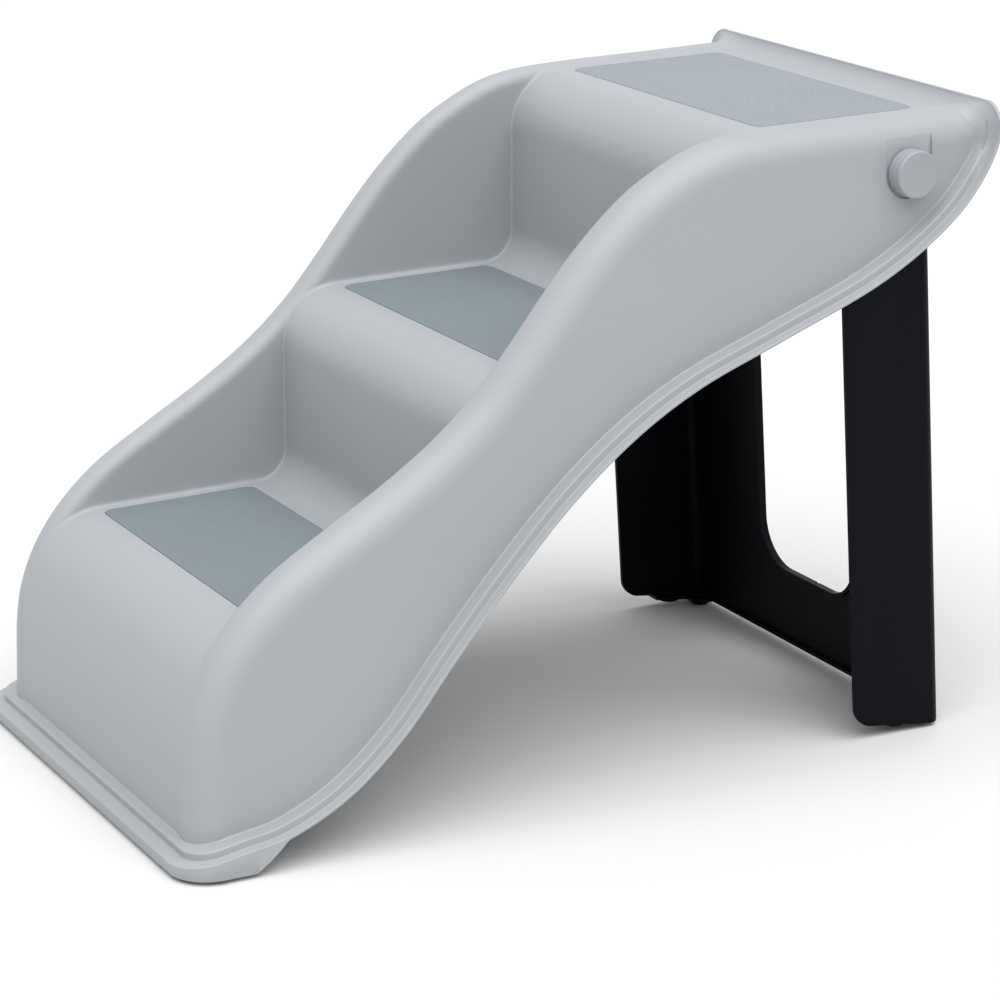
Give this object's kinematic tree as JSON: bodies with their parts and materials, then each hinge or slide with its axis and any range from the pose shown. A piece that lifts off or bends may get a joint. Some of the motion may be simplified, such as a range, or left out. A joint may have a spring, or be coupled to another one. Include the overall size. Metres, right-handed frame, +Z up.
{
  "type": "folding pet stairs",
  "caption": "Moulded folding pet stairs: S-curved shell with hollow side rails, textured tread mats and a dark leg frame that folds in under it.",
  "frame": {"origin": "middle of the bounding box in plan, at the floor", "axes": "+Y the way up the stairs, +X the climber's right, +Z up"},
  "size_m": [0.406, 0.656, 0.484],
  "materials": {
    "shell_plastic": "satin light grey, moulded",
    "cap_plastic": "satin light grey, moulded",
    "mat_rubber": "fine gritty weave",
    "leg_plastic": "semi-matte black, moulded",
    "foot_rubber": "matte black",
    "pad_rubber": "matte grey",
    "steel": "zinc plated"
  },
  "bodies": {
    "stairs": {"step_shell": "shell_plastic", "tread_mat_bottom": "mat_rubber", "tread_mat_middle": "mat_rubber", "tread_mat_top": "mat_rubber", "hinge_cap_left": "cap_plastic", "hinge_cap_right": "cap_plastic", "hinge_washer_left": "steel", "hinge_washer_right": "steel", "hinge_screw_left": "steel", "hinge_screw_right": "steel", "front_foot_left": "pad_rubber", "front_foot_right": "pad_rubber"},
    "leg": {"leg_frame": "leg_plastic", "leg_foot_outer_left": "foot_rubber", "leg_foot_outer_right": "foot_rubber", "leg_foot_inner_left": "foot_rubber", "leg_foot_inner_right": "foot_rubber"}
  },
  "joints": [
    {"name": "leg_fold", "type": "hinge", "parent": "stairs", "child": "leg", "pos_m": [0, 0.26, 0.437], "axis": [-1, 0, 0], "range_deg": [0, 56]}
  ]
}
